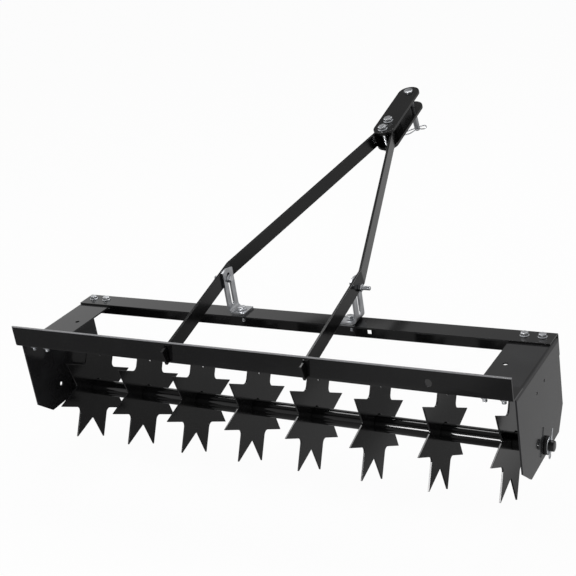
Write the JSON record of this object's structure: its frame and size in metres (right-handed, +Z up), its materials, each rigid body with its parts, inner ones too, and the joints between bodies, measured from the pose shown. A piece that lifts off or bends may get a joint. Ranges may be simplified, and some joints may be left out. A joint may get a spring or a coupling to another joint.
{
  "type": "tow behind spike aerator",
  "caption": "Tow behind spike aerator: star wheels on an axle in a folded steel frame, with adjustable converging drawbars and a pin hitch.",
  "frame": {"origin": "centre of the bounding box at the level of the lowest spike tips", "axes": "+X along the axle to the machine's right, +Y forward to the hitch, +Z up, with the frame level as it is when hitched"},
  "size_m": [1.0458, 0.8926, 0.5356],
  "materials": {
    "black_steel": "gloss black powder coat",
    "zinc_steel": "bright zinc plate",
    "bushing_plastic": "matte black"
  },
  "bodies": {
    "frame": {"end_plate_left": "black_steel", "end_plate_right": "black_steel", "rear_crossbar": "black_steel", "front_crossbar": "black_steel", "frame_bolt_rear_left_inner": "zinc_steel", "frame_bolt_rear_left_outer": "zinc_steel", "frame_bolt_front_left_inner": "zinc_steel", "frame_bolt_front_left_outer": "zinc_steel", "frame_bolt_rear_right_inner": "zinc_steel", "frame_bolt_rear_right_outer": "zinc_steel", "frame_bolt_front_right_inner": "zinc_steel", "frame_bolt_front_right_outer": "zinc_steel", "brace_left": "zinc_steel", "brace_right": "zinc_steel", "brace_foot_bolt_left": "zinc_steel", "brace_foot_bolt_right": "zinc_steel", "brace_foot_nut_left": "zinc_steel", "brace_foot_nut_right": "zinc_steel", "axle_bushing_left": "bushing_plastic", "axle_bushing_right": "bushing_plastic"},
    "star_axle": {"axle": "black_steel", "axle_washer_left": "zinc_steel", "axle_washer_right": "zinc_steel", "cotter_pin_left": "zinc_steel", "cotter_pin_right": "zinc_steel", "star_wheel_1": "black_steel", "star_wheel_2": "black_steel", "star_wheel_3": "black_steel", "star_wheel_4": "black_steel", "star_wheel_5": "black_steel", "star_wheel_6": "black_steel", "star_wheel_7": "black_steel", "star_wheel_8": "black_steel", "spacer_tube_1": "black_steel", "spacer_tube_2": "black_steel", "spacer_tube_3": "black_steel", "spacer_tube_4": "black_steel", "spacer_tube_5": "black_steel", "spacer_tube_6": "black_steel", "spacer_tube_7": "black_steel", "spacer_tube_8": "black_steel", "spacer_tube_9": "black_steel"},
    "brace_bolts": {"brace_bolt_left": "zinc_steel", "brace_bolt_right": "zinc_steel", "brace_nut_left": "zinc_steel", "brace_nut_right": "zinc_steel"},
    "drawbar": {"drawbar_left": "black_steel", "drawbar_right": "black_steel", "hitch_plate_upper": "black_steel", "hitch_plate_lower": "black_steel", "hitch_bolt_rear": "zinc_steel", "hitch_bolt_front": "zinc_steel", "hitch_nut_rear": "zinc_steel", "hitch_nut_front": "zinc_steel"},
    "pin": {"hitch_pin": "zinc_steel"},
    "clip": {"hairpin_clip": "zinc_steel"}
  },
  "joints": [
    {"name": "axle_spin", "type": "hinge", "parent": "frame", "child": "star_axle", "pos_m": [0, -0.29774, 0.11072], "axis": [1, 0, 0], "continuous": true},
    {"name": "drawbar_height", "type": "slide", "parent": "frame", "child": "brace_bolts", "axis": [0, 0, 1], "range_m": [-0.05, 0.008]},
    {"name": "drawbar_tilt", "type": "hinge", "parent": "brace_bolts", "child": "drawbar", "pos_m": [0, -0.20599, 0.33572], "axis": [1, 0, 0], "range_deg": [-12.6, 2.1]},
    {"name": "hitch_pin_lift", "type": "slide", "parent": "drawbar", "child": "pin", "axis": [0, -0.2558, 0.9667], "range_m": [0, 0.043]},
    {"name": "clip_pull", "type": "slide", "parent": "pin", "child": "clip", "axis": [0.766, 0.6214, 0.1644], "range_m": [0, 0.055]}
  ],
  "couplings": [
    {"joint": "drawbar_tilt", "follows": "drawbar_height", "rad_per_m": 4.37}
  ]
}
